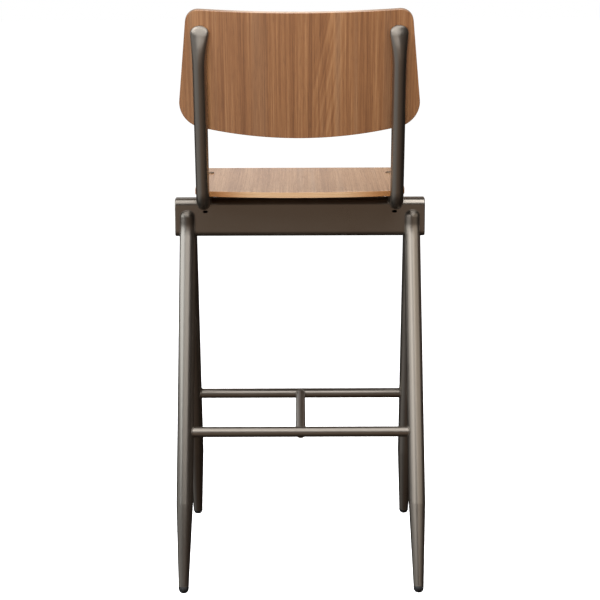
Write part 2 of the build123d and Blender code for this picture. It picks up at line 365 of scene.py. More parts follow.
@dataclass(frozen=True)
class Veneer(Finish):
    """Walnut veneer with straight grain under satin lacquer.

    Fields: the turn about X that lays the grain along Y, the place in the log, the lean of the slanted
    strands and the point they run through, the tones of the wood, the lacquer, and the shares of bands,
    streaks and lines in the figure. The pairs after them are scales across and along the grain, in waves to
    the metre.
    """

    turn: float = 0.0
    seed: float = 0.0
    slant: float = 0.0
    slant_at: tuple[float, float] = (0.0, 0.0)
    dark: Colour = tone(129, 85, 53)
    mid: Colour = tone(153, 105, 67)
    light: Colour = tone(174, 126, 85)
    grey: Colour = tone(153, 116, 86)
    roughness: float = 0.42
    coat: float = 0.7
    shares: Triple = (0.20, 0.44, 0.36)
    drift: tuple[float, float] = (5.0, 2.4)
    band: tuple[float, float] = (26.0, 0.5)
    cast: tuple[float, float] = (44.0, 0.7)
    streak: tuple[float, float] = (170.0, 1.6)
    strand: tuple[float, float] = (210.0, 1.6)
    line: tuple[float, float] = (480.0, 5.0)
    fibre: tuple[float, float] = (900.0, 24.0)
    pore: tuple[float, float] = (1500.0, 42.0)

    def inputs(self, graph: Graph) -> Sockets:
        """Bands, streaks, fibres and pores, all long along the grain and narrow across it.

        A slow drift bends the grain a little. Slanted strands fade out on both sides of their own line.

        Args:
            graph: the graph to add nodes to

        Returns:
            The veneer's shader inputs.
        """
        x, y, z = graph.coords(self.turn)
        layer = z * 9.0 + self.seed

        def grain(
            scale: tuple[float, float], aside: Wire, shift: float, detail: float, rough: float = 0.5
        ) -> Wire:
            """Noise of one scale, at a depth in the log of its own."""
            depth = layer + shift if shift else layer
            return graph.noise(aside * scale[0], y * scale[1], depth, detail, rough)

        across = x + (grain(self.drift, x, 0.0, 2.0) - 0.5) * 0.004
        band = grain(self.band, across, 0.0, 2.0)
        streak = grain(self.streak, across, 3.1, 3.0, 0.6)
        line = grain(self.line, across, 5.3, 2.0)
        fibre = grain(self.fibre, across, 7.7, 2.0, 0.6)
        pore = graph.step(grain(self.pore, across, 12.0, 1.0), 0.60, 0.74)
        figure = band * self.shares[0] + streak * self.shares[1] + line * self.shares[2]
        if self.slant:
            near = 1.0 - graph.step(graph.size(x - self.slant_at[0]), 0.008, 0.04)
            leaning = across + (y - self.slant_at[1]) * self.slant
            strand = grain(self.strand, leaning, 9.4, 2.0)
            figure = figure + (strand - 0.5) * near * 0.4
        wood = graph.ramp(figure, [(0.38, self.dark), (0.50, self.mid), (0.62, self.light)])
        cool = graph.step(grain(self.cast, across, 21.0, 1.0), 0.55, 0.75)
        wood = graph.blend(wood, self.grey, cool * 0.55)
        shade = 1.0 - (graph.step(fibre, 0.35, 0.75) * 0.20 + pore * 0.24)
        height = fibre * 0.5 + (1.0 - pore) * 0.5
        return {
            "Base Color": graph.blend(wood, graph.grey(shade), 1.0, "MULTIPLY"),
            "Roughness": self.roughness + pore * 0.12 + (fibre - 0.5) * 0.10,
            "Coat Weight": self.coat,
            "Coat Roughness": 0.22,
            "Normal": graph.bump(height, 0.00008, 0.25),
        }


@dataclass(frozen=True)
class PlyEdge(Finish):
    """Cut edge of plywood: plies that turn their grain by turns, under the same lacquer.

    Fields: the board's thickness and number of plies, the tones of long grain, end grain and glue, and the
    tone towards the board's two sides, with the distances from the middle between which it comes in.
    """

    thickness: float = 0.011
    plies: int = 7
    pale: Colour = tone(234, 200, 160)
    gold: Colour = tone(212, 166, 116)
    glue: Colour = tone(150, 104, 64)
    ends: Colour = tone(190, 130, 76)
    toward_ends: tuple[float, float] = (0.07, 0.16)

    def inputs(self, graph: Graph) -> Sockets:
        """Stripes by depth in the board: end-grain plies are darker, with a thin glue line between plies.

        Args:
            graph: the graph to add nodes to

        Returns:
            The edge's shader inputs.
        """
        at = graph.coords()
        depth = graph.node("ShaderNodeAttribute", {"attribute_name": DEPTH}, output="Fac")
        wander = graph.speckle(at, 30.0)
        place = depth * (self.plies / self.thickness) + (wander - 0.5) * 0.25
        turn = graph.math("PINGPONG", place, 1.0)
        speck = graph.speckle(at, 700.0)
        share = graph.step(turn, 0.35, 0.65) * 0.55 + speck * 0.45
        ply = graph.blend(self.pale, self.gold, share)
        # Towards the board's sides the edge blends to the side tone; on the backrest that darker tone is
        # painted shade where the arris turns away from the light
        ply = graph.blend(ply, self.ends, graph.step(graph.size(at[0]), *self.toward_ends))
        line = graph.math("PINGPONG", place + 0.5, 0.5)
        glue = 1.0 - graph.step(line, 0.03, 0.10)
        return {
            "Base Color": graph.blend(ply, self.glue, glue * 0.5),
            "Roughness": 0.48 + speck * 0.12,
            "Normal": graph.bump(speck, 0.00008, 0.3),
        }


@dataclass(frozen=True)
class TipPlastic(Finish):
    """Black moulded plastic with a fine spark-eroded texture, scuffed a little."""

    black: Colour = tone(24, 24, 25)
    scuffed: Colour = tone(46, 45, 44)

    def inputs(self, graph: Graph) -> Sockets:
        """Fine grain in the gloss and a cloudy scuff in the colour.

        Args:
            graph: the graph to add nodes to

        Returns:
            The plastic's shader inputs.
        """
        at = graph.coords()
        grain = graph.speckle(at, 1800.0)
        scuff = graph.step(graph.speckle(at, 160.0, detail=3.0), 0.52, 0.80)
        return {
            "Base Color": graph.blend(self.black, self.scuffed, scuff),
            "Roughness": 0.40 + grain * 0.16 + scuff * 0.10,
            "Normal": graph.bump(grain, 0.00005, 0.4),
        }


@dataclass(frozen=True)
class Steel(Finish):
    """Turned steel, bronzed or zinc plated, with faint tool marks."""

    bright: Colour = tone(176, 176, 172)
    darker_tone: Colour = tone(140, 140, 138)
    roughness: float = 0.34

    def inputs(self, graph: Graph) -> Sockets:
        """Uneven plating in colour and gloss.

        Args:
            graph: the graph to add nodes to

        Returns:
            The steel's shader inputs.
        """
        at = graph.coords()
        stain = graph.speckle(at, 320.0, detail=3.0)
        marks = graph.speckle(at, 2400.0, detail=1.0)
        return {
            "Base Color": graph.blend(self.darker_tone, self.bright, stain),
            "Metallic": 1.0,
            "Roughness": self.roughness + (stain - 0.5) * 0.14,
            "Normal": graph.bump(marks, 0.00003, 0.3),
        }


@dataclass(frozen=True)
class FloorPaper(Finish):
    """Matt white studio paper that glows as bright as white on the screen."""

    white: Colour = (0.86, 0.86, 0.86, 1.0)
    bright: Colour = (0.90, 0.90, 0.90, 1.0)
    glow: float = 1.0

    def inputs(self, graph: Graph) -> Sockets:
        """Faint mottling in the paper.

        Args:
            graph: the graph to add nodes to

        Returns:
            The paper's shader inputs.
        """
        x, y, _ = graph.coords()
        mottle = graph.noise(x * 40.0, y * 40.0, 0.0)
        return {
            "Base Color": graph.blend(self.white, self.bright, mottle),
            "Roughness": 0.9,
            "Specular IOR Level": 0.0,
            "Emission Color": WHITE,
            "Emission Strength": self.glow,
        }


@dataclass
class Shell:
    """A closed surface worked out on grids.

    Fields: points, the corners of its quads and triangles, a tag for each quad that picks its material
    (triangles take the first), and each point's depth in the board.
    """

    points: np.ndarray
    quads: np.ndarray
    triangles: np.ndarray
    tags: np.ndarray
    depth: np.ndarray

    @classmethod
    def tube(cls, grid: np.ndarray) -> "Shell":
        """Closes a grid in both directions, as on a ring.

        Args:
            grid: rows by columns of points; rows and columns both wrap round

        Returns:
            The ring's surface, pointing outwards.
        """
        rows, columns = grid.shape[:2]
        index = np.arange(rows * columns).reshape(rows, columns)
        quads = cls._quads(np.vstack([index, index[:1]]))
        points = grid.reshape(-1, 3)
        none = np.zeros((0, 3), int)
        return cls(points, quads, none, np.zeros(len(quads), int), np.zeros(len(points))).outward()

    @classmethod
    def capped(cls, grid: np.ndarray, ends: np.ndarray, tags: np.ndarray | None = None) -> "Shell":
        """Closes a grid of loops with a point at each end.

        Args:
            grid: rows by columns of points; each row is a loop
            ends: the point that closes the first row and the one that closes the last
            tags: a tag for each band between two rows, or none

        Returns:
            The closed surface, pointing outwards.
        """
        rows, columns = grid.shape[:2]
        count = rows * columns
        index = np.arange(count).reshape(rows, columns)
        around = np.roll(index, -1, axis=1)
        first = np.stack([np.full(columns, count), around[0], index[0]], axis=1)
        last = np.stack([np.full(columns, count + 1), index[-1], around[-1]], axis=1)
        points = np.vstack([grid.reshape(-1, 3), ends])
        bands = np.zeros(rows - 1, int) if tags is None else tags
        caps = np.vstack([first, last])
        shell = cls(points, cls._quads(index), caps, np.repeat(bands, columns), np.zeros(len(points)))
        return shell.outward()

    @staticmethod
    def _quads(index: np.ndarray) -> np.ndarray:
        """Corners of the quads between rows of point numbers, columns wrapping round."""
        around = np.roll(index, -1, axis=1)
        return np.stack([index[:-1], around[:-1], around[1:], index[1:]], axis=-1).reshape(-1, 4)

    def outward(self) -> "Shell":
        """Turns the faces round if the volume they enclose comes out negative.

        Returns:
            This shell.
        """
        corners = np.vstack([self.quads[:, [0, 1, 2]], self.quads[:, [0, 2, 3]], self.triangles])
        a, b, c = (self.points[corners[:, i]] for i in range(3))
        if np.einsum("ij,ij->", a, np.cross(b, c)) < 0:
            self.quads = self.quads[:, ::-1]
            self.triangles = self.triangles[:, ::-1]
        return self

    @staticmethod
    def join(shells: Sequence["Shell"]) -> "Shell":
        """Gathers several shells, none of them welded together.

        Args:
            shells: the shells

        Returns:
            One shell that holds them all.
        """
        starts = np.cumsum([0] + [len(shell.points) for shell in shells[:-1]])
        return Shell(
            np.vstack([shell.points for shell in shells]),
            np.vstack([shell.quads + start for shell, start in zip(shells, starts)]),
            np.vstack([shell.triangles + start for shell, start in zip(shells, starts)]),
            np.concatenate([shell.tags for shell in shells]),
            np.concatenate([shell.depth for shell in shells]),
        )

    def mirrored(self) -> "Shell":
        """The mirror image across the stool, its faces turned so that they still point outwards."""
        return replace(self, points=self.points * MIRROR).outward()

    def object(self, name: str, materials: Sequence[bpy.types.Material], crease: float) -> bpy.types.Object:
        """Puts the shell into a mesh object at the origin.

        Args:
            name: the piece's name
            materials: materials, in the order that the tags count them
            crease: angle in degrees past which an edge stays sharp

        Returns:
            The linked object.
        """
        mesh = bpy.data.meshes.new(name)
        mesh.from_pydata(self.points.tolist(), [], self.quads.tolist() + self.triangles.tolist())
        for material in materials:
            mesh.materials.append(material)
        tags = np.concatenate([self.tags, np.zeros(len(self.triangles))]).astype(np.int32)
        mesh.polygons.foreach_set("material_index", tags)
        depth = mesh.attributes.new(DEPTH, "FLOAT", "POINT")
        depth.data.foreach_set("value", self.depth.astype(np.float32))
        mesh.shade_smooth()
        mesh.set_sharp_from_angle(angle=radians(crease))
        mesh.update()
        made = bpy.data.objects.new(name, mesh)
        bpy.context.scene.collection.objects.link(made)
        return made


def add_piece(made: bpy.types.Object, slot: Slot, *nodes: str) -> None:
    """Rides a new piece on the stool and hides the CAD nodes that it replaces.

    Args:
        made: the finished piece
        slot: the record's slot that its finish belongs to; not used
        nodes: the CAD nodes that it replaces, if any
    """
    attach(made, BODY)
    if nodes:
        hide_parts(*nodes)
    LOG.info("%s: %d faces", made.name, len(made.data.polygons))


@dataclass(frozen=True)
class Edge:
    """A board's end edge: an arc whose middle lies on the board's centre line.

    Fields: where the arc crosses the centre line, its radius, the direction in which the board lies from it
    (+1 or -1 along the board), and the radius of its two corners.
    """

    at: float
    radius: float
    inward: float
    corner: float

    @classmethod
    def through(cls, at: float, half: float, end: float, corner: float) -> "Edge":
        """The arc through the centre line at one height and through both sides at another.

        Args:
            at: height on the centre line
            half: half the width at the sides
            end: height at the sides
            corner: radius of the corners

        Returns:
            The edge, which bulges away from the board.
        """
        rise = abs(end - at)
        return cls(at, (half**2 + rise**2) / (2 * rise), float(np.sign(end - at)), corner)

    @property
    def centre(self) -> np.ndarray:
        """Centre of the arc."""
        return np.array([0.0, self.at + self.inward * self.radius])

    def rounded(self, side: np.ndarray, along: np.ndarray, count: int) -> tuple[np.ndarray, np.ndarray]:
        """The half edge on the +X side and its corner into the side line.

        The corner's centre lies its own radius inside the side line and inside the arc: on the side line
        moved in, at the arc's radius less the corner's from the arc's centre.

        Args:
            side: a point of the side line
            along: the side line's direction towards this edge
            count: points in each arc

        Returns:
            Points along the edge from the centre line to the corner, and points round the corner.
        """
        normal = np.array([along[1], -along[0]])
        normal = normal if normal[0] > 0 else -normal
        start = side - normal * self.corner - self.centre
        reach = self.radius - self.corner
        half = start @ along
        step = -half + sqrt(half**2 - (start @ start - reach**2))
        middle = side - normal * self.corner + along * step
        outward = unit(middle - self.centre)
        low, high = np.arctan2(outward[1], outward[0]), np.arctan2(normal[1], normal[0])
        apex = -self.inward * pi / 2
        sweep = np.linspace(apex, low, count, endpoint=False)[:, None]
        bend = np.linspace(low, high, count)[:, None]
        edge = self.centre + self.radius * np.hstack([np.cos(sweep), np.sin(sweep)])
        round_off = middle + self.corner * np.hstack([np.cos(bend), np.sin(bend)])
        return edge, round_off


@dataclass(frozen=True)
class Board:
    """A plywood board: an outline with rounded corners, two veneered faces and a cut edge.

    Fields: the piece's name, the node it stands for, its slot, its two end edges, a point on each end of
    its side line, its thickness, the rounding of its arrises and the thickness of its veneer. The counts
    are rings in a face, points on an end edge or corner, on a side, round an arris and down the cut edge.
    The crease is in degrees.
    """

    name: str
    node: str
    slot: Slot
    first: Edge
    last: Edge
    side_first: tuple[float, float]
    side_last: tuple[float, float]
    thickness: float = 0.011
    arris: float = 0.0009
    face_ply: float = 0.00055
    rings: int = 44
    arc_points: int = 22
    side_points: int = 14
    arris_points: int = 6
    wall_points: int = 7
    crease: float = 40.0

    def lift(self, plan: np.ndarray, depth: np.ndarray) -> np.ndarray:
        """Places points of the flat outline on the bent board.

        Args:
            plan: points of the outline's plane
            depth: depth under the face, as a share of the thickness

        Returns:
            Points in the stool's frame.
        """
        raise NotImplementedError

    def outline(self) -> np.ndarray:
        """Draws the outline: edge, corner, side, corner, edge on +X, and the same mirrored back on -X.

        Returns:
            Points of the closed line.
        """
        start, stop = np.array(self.side_first), np.array(self.side_last)
        along = unit(stop - start)
        edge_a, corner_a = self.first.rounded(start, -along, self.arc_points)
        edge_b, corner_b = self.last.rounded(stop, along, self.arc_points)
        share = np.linspace(0.0, 1.0, self.side_points + 2)[1:-1, None]
        side = corner_a[-1] + (corner_b[-1] - corner_a[-1]) * share
        half = np.vstack([edge_a, corner_a, side, corner_b[::-1], edge_b[::-1]])
        return np.vstack([half, half[-2:0:-1] * np.array([-1.0, 1.0])])

    def build(self) -> Shell:
        """Carries the board's half section round its outline.

        The section starts in the middle of one face, runs out to the arris, round it by a quarter circle,
        down the edge, round the other arris and back to the middle of the other face.

        Returns:
            The closed board, with tag 0 on its faces and tag 1 on its edge.
        """
        rim = self.outline()
        ahead = unit(np.roll(rim, -1, axis=0) - np.roll(rim, 1, axis=0))
        inward = np.stack([-ahead[:, 1], ahead[:, 0]], axis=1)
        middle = np.array([0.0, (rim[:, 1].min() + rim[:, 1].max()) / 2])
        inward *= np.sign(np.einsum("ij,ij->", inward, middle - rim))
        turn = np.linspace(0.0, pi / 2, self.arris_points)
        face_rim = rim + inward * (self.arris * 2.0)
        share = np.linspace(0.0, 1.0, self.rings + 1)[1:]
        face = middle + share[:, None, None] * (face_rim - middle)
        curl = rim + inward * (self.arris * (1.0 - np.sin(turn)))[:, None, None]
        wall = np.repeat(rim[None], self.wall_points, axis=0)
        plan = np.concatenate([face, curl, wall, curl[::-1], face[::-1]])
        bite = self.arris / self.thickness
        above = np.concatenate([np.zeros(self.rings), bite * (1.0 - np.cos(turn))])
        between = np.linspace(bite, 1.0 - bite, self.wall_points + 2)[1:-1]
        depth = np.concatenate([above, between, 1.0 - above[::-1]])
        veneer = self.face_ply / self.thickness
        band = (depth[1:] + depth[:-1]) / 2
        tags = ((band > veneer) & (band < 1.0 - veneer)).astype(int)
        columns = len(rim)
        spread = np.repeat(depth[:, None], columns, axis=1)
        grid = self.lift(plan.reshape(-1, 2), spread.ravel()).reshape(len(depth), columns, 3)
        ends = self.lift(np.stack([middle, middle]), np.array([0.0, 1.0]))
        shell = Shell.capped(grid, ends, tags)
        shell.depth = np.concatenate([spread.ravel(), [0.0, 1.0]]) * self.thickness
        return shell

    def dress(self, veneer: Finish, edge: Finish) -> None:
        """Builds the board and gives its faces veneer and its edge the look of cut plies."""
        made = self.build().object(self.name, [veneer.build(), edge.build()], self.crease)
        add_piece(made, self.slot, self.node)


@dataclass(frozen=True)
class SeatBoard(Board):
    """The seat: flat, a little higher in front, with a front edge that rolls down.

    Fields: the rear edge's Y and height, the pitch, the Y where the roll starts and its radius.
    """

    rear: float = 0.1202
    rear_top: float = 0.7435
    pitch: float = radians(1.15)
    roll_from: float = -0.2116
    roll_radius: float = 0.090

    def lift(self, plan: np.ndarray, depth: np.ndarray) -> np.ndarray:
        """Raises the plan to the seat's top, flat and then round the roll, and sinks it square to that.

        Args:
            plan: X and Y of the points
            depth: depth under the top, as a share of the thickness

        Returns:
            Points in the stool's frame.
        """
        x, y = plan[:, 0], plan[:, 1]
        start = self.rear_top + (self.rear - self.roll_from) * tan(self.pitch)
        centre_y = self.roll_from - self.roll_radius * sin(self.pitch)
        centre_z = start - self.roll_radius * cos(self.pitch)
        lean = np.where(y < self.roll_from, (y - centre_y) / self.roll_radius, sin(self.pitch))
        rise = np.sqrt(1.0 - lean**2)
        rolled = centre_z + self.roll_radius * rise
        top = np.where(y < self.roll_from, rolled, self.rear_top + (self.rear - y) * tan(self.pitch))
        sink = depth * self.thickness
        return np.stack([x, y - lean * sink, top - rise * sink], axis=1)


@dataclass(frozen=True)
class BackBoard(Board):
    """The backrest: bent sideways round an axis that leans with the posts.

    Fields: the point on the posts' axes from which heights count, the posts' lean, the radius of the rear
    face, and the posts' distance from the middle and radius.
    """

    datum_y: float = 0.1352
    datum_z: float = 0.760
    slope: float = radians(13.2)
    bend: float = 0.750
    post_x: float = 0.1824
    post_radius: float = 0.0127

    def lift(self, plan: np.ndarray, depth: np.ndarray) -> np.ndarray:
        """Bends the outline on two circles about one centre: outside at depth 0, hollow side at depth 1.

        Args:
            plan: X of the points and their height up the posts from the datum
            depth: depth from the outside, as a share of the thickness

        Returns:
            Points in the stool's frame.
        """
        x, height = plan[:, 0], plan[:, 1]
        centre = sqrt((self.bend + self.post_radius) ** 2 - self.post_x**2)
        outside = centre - np.sqrt(self.bend**2 - x**2)
        hollow = centre - np.sqrt((self.bend - self.thickness) ** 2 - x**2)
        forward = outside + (hollow - outside) * depth
        y = self.datum_y + height * sin(self.slope) - forward * cos(self.slope)
        z = self.datum_z + height * cos(self.slope) + forward * sin(self.slope)
        return np.stack([x, y, z], axis=1)


@dataclass(frozen=True)
class ScrewSet:
    """Screws with a wide, flat, slightly crowned head and a hexagon socket, all of one board.

    Fields: the piece's name, the node it stands for, the places of the left screws under the head, their
    direction, the sizes of a screw, the points round it, and the crease in degrees.
    """

    name: str
    node: str
    places: tuple[Triple, ...]
    axis: Triple
    head: float = 0.00875
    head_height: float = 0.0018
    rounding: float = 0.0009
    crown: float = 0.00025
    shank: float = 0.0030
    length: float = 0.0208
    apothem: float = 0.0020
    lip: float = 0.00244
    lip_drop: float = 0.00022
    socket_depth: float = 0.0026
    tip: float = 0.0024
    tip_chamfer: float = 0.0006
    columns: int = 48
    crease: float = 32.0

    def profile(self) -> tuple[np.ndarray, np.ndarray, np.ndarray]:
        """Half section from the socket's floor, over the crown, round the head's rim and down the shank.

        Returns:
            Radius, height and hexagon share of each row; a share of 1 makes that row six-sided.
        """
        rim = self.head - self.rounding
        crown_r = np.linspace(self.lip, rim, 6)
        crown_z = self.head_height + self.crown * (1.0 - (crown_r / rim) ** 2)
        turn = np.linspace(0.0, pi / 2, 6)[1:]
        rim_r = rim + self.rounding * np.sin(turn)
        rim_z = self.head_height - self.rounding * (1.0 - np.cos(turn))
        floor = self.head_height - self.socket_depth
        socket_r = [self.apothem * 0.5, self.apothem, self.apothem, self.apothem]
        socket_z = [floor, floor, floor + self.socket_depth / 2, float(crown_z[0]) - self.lip_drop]
        below_r = [self.head, self.head, self.shank, self.shank, self.shank, self.tip]
        below_z = [0.0004, 0.0, 0.0, -0.012, -self.length + self.tip_chamfer, -self.length]
        radius = np.concatenate([socket_r, crown_r, rim_r, below_r])
        height = np.concatenate([socket_z, crown_z, rim_z, below_z])
        six = np.zeros(len(radius))
        six[: len(socket_r)] = 1.0
        return radius, height, six

    def build(self) -> Shell:
        """Turns the profile about each screw's axis.

        A hexagon of apothem a has the radius a / cos of the angle from the middle of a flat.

        Returns:
            The screws of both sides in one shell.
        """
        radius, height, six = self.profile()
        angle = np.linspace(0.0, 2 * pi, self.columns, endpoint=False)
        flat = 1.0 / np.cos(np.mod(angle, pi / 3) - pi / 6)
        reach = radius[:, None] * (1.0 + six[:, None] * (flat - 1.0))
        shells = []
        for side in Side:
            mirror = np.array([side.value, 1.0, 1.0])
            axis = unit(np.array(self.axis) * mirror)
            across = unit(np.cross(axis, [0.3, 0.9, -0.2]))
            third = np.cross(axis, across)
            ring = reach[..., None] * (np.cos(angle)[:, None] * across + np.sin(angle)[:, None] * third)
            for place in self.places:
                grid = np.array(place) * mirror + ring + height[:, None, None] * axis
                ends = np.array(place) * mirror + height[[0, -1], None] * axis
                shells.append(Shell.capped(grid, ends))
        return Shell.join(shells)

    def dress(self, finish: bpy.types.Material) -> None:
        """Builds the screws in one finish."""
        add_piece(self.build().object(self.name, [finish], self.crease), Slot.SCREWS, self.node)


@dataclass(frozen=True)
class Tubes:
    """Sizes of the welded frame that the weld beads follow.

    The last two fields are the length of a leg's straight that is followed below its bend, and the number
    of points on the bend and on the dome.
    """

    leg_radius: float = 0.0159
    leg_foot_x: float = 0.2222
    leg_top_x: float = 0.2170
    rear_foot_y: float = 0.2562
    front_foot_y: float = -0.2358
    leg_sink: float = 0.008
    leg_bend: float = 0.080
    leg_bend_z: float = 0.6585
    leg_top_z: float = 0.687
    leg_dome: float = 0.0145
    rail_y: float = 0.0272
    rail_z: float = 0.6846
    rail_half_depth: float = 0.023
    rail_half_height: float = 0.0364
    rail_corner: float = 0.012
    bar_radius: float = 0.010
    front_bar_z: float = 0.2925
    rear_bar_z: float = 0.2885
    centre_radius: float = 0.0095
    centre_drop: float = 0.0035
    arm_radius: float = 0.0127
    arm_x: float = 0.1824
    arm_z: float = 0.72115
    arm_rise: float = tan(radians(1.15))
    straight: float = 0.04
    samples: int = 160

    def leg(self, place: Place) -> tuple[np.ndarray, np.ndarray]:
        """Finds the straight of a left leg.

        Args:
            place: front or rear

        Returns:
            Its foot and its upward direction.
        """
        rear = place is Place.REAR
        sign = 1.0 if rear else -1.0
        foot = np.array([self.leg_foot_x, self.rear_foot_y if rear else self.front_foot_y, 0.0])
        top_y = self.rail_y + sign * (self.rail_half_depth - self.leg_sink)
        return foot, unit(np.array([self.leg_top_x, top_y, self.leg_bend_z]) - foot)

    def leg_lines(self, place: Place, angles: np.ndarray) -> np.ndarray:
        """Lines up the skin of a left leg's top: a straight, the bend, the upright and the dome on it.

        Every station is a circle square to the leg's centre line; on the dome the circles shrink along an
        ellipse.

        Args:
            place: front or rear
            angles: the lines' angles round the leg

        Returns:
            Angles by stations of points, from under the rail to the top of the dome.
        """
        foot, up = self.leg(place)
        top = np.array([0.0, 0.0, 1.0])
        turn = np.arccos(up[2])
        reach = self.leg_bend * tan(turn / 2)
        corner = foot + up * (self.leg_bend_z / up[2])
        start = corner - up * reach
        toward = unit(top - up * up[2])
        stem = self.leg_top_z - self.leg_bend_z
        below = np.linspace(-self.straight, 0.0, self.samples // 2, endpoint=False)[:, None]
        bend = np.linspace(0.0, turn, self.samples, endpoint=False)[:, None]
        upright = np.linspace(reach, stem, self.samples // 4, endpoint=False)[:, None]
        lift = np.linspace(0.0, pi / 2, self.samples)[:, None]
        arc = start + self.leg_bend * (np.sin(bend) * up + (1.0 - np.cos(bend)) * toward)
        dome = corner + (stem + self.leg_dome * np.sin(lift)) * top
        centre = np.vstack([start + below * up, arc, corner + upright * top, dome])
        lower, upper = np.ones_like(below) * up, np.ones((len(upright) + len(lift), 1)) * top
        heading = np.vstack([lower, np.cos(bend) * up + np.sin(bend) * toward, upper])
        radius = np.full(len(centre), self.leg_radius)
        radius[-len(lift) :] *= np.cos(lift[:, 0])
        side = unit(np.cross(up, top))
        angles = angles[:, None, None]
        spoke = np.cos(angles) * np.cross(side, heading) + np.sin(angles) * side
        return centre + radius[:, None] * spoke

    def bar(self, place: Place) -> np.ndarray:
        """Finds a cross bar of the footrest: on the line between the legs' axes at its height.

        Args:
            place: front or rear

        Returns:
            The bar's middle.
        """
        foot, up = self.leg(place)
        height = self.rear_bar_z if place is Place.REAR else self.front_bar_z
        return np.array([0.0, foot[1] + up[1] * height / up[2], height])

    def rail_skin(self, points: np.ndarray) -> np.ndarray:
        """Measures from the rail's section, a rectangle with rounded corners.

        Args:
            points: the points to measure from

        Returns:
            Distance of each point outside the rail, negative inside it.
        """
        over_y = np.abs(points[..., 1] - self.rail_y) - (self.rail_half_depth - self.rail_corner)
        over_z = np.abs(points[..., 2] - self.rail_z) - (self.rail_half_height - self.rail_corner)
        outside = np.hypot(np.maximum(over_y, 0.0), np.maximum(over_z, 0.0))
        return outside + np.minimum(np.maximum(over_y, over_z), 0.0) - self.rail_corner

    def leg_skin(self, place: Place) -> Skin:
        """Distance outside the left leg's tube below its bend, as a function of points."""
        foot, up = self.leg(place)
        return lambda points: np.linalg.norm(np.cross(points - foot, up), axis=-1) - self.leg_radius

    def bar_skin(self, place: Place) -> Skin:
        """Distance outside a cross bar, as a function of points."""
        middle = self.bar(place)[1:]
        return lambda points: np.linalg.norm(points[..., 1:] - middle, axis=-1) - self.bar_radius


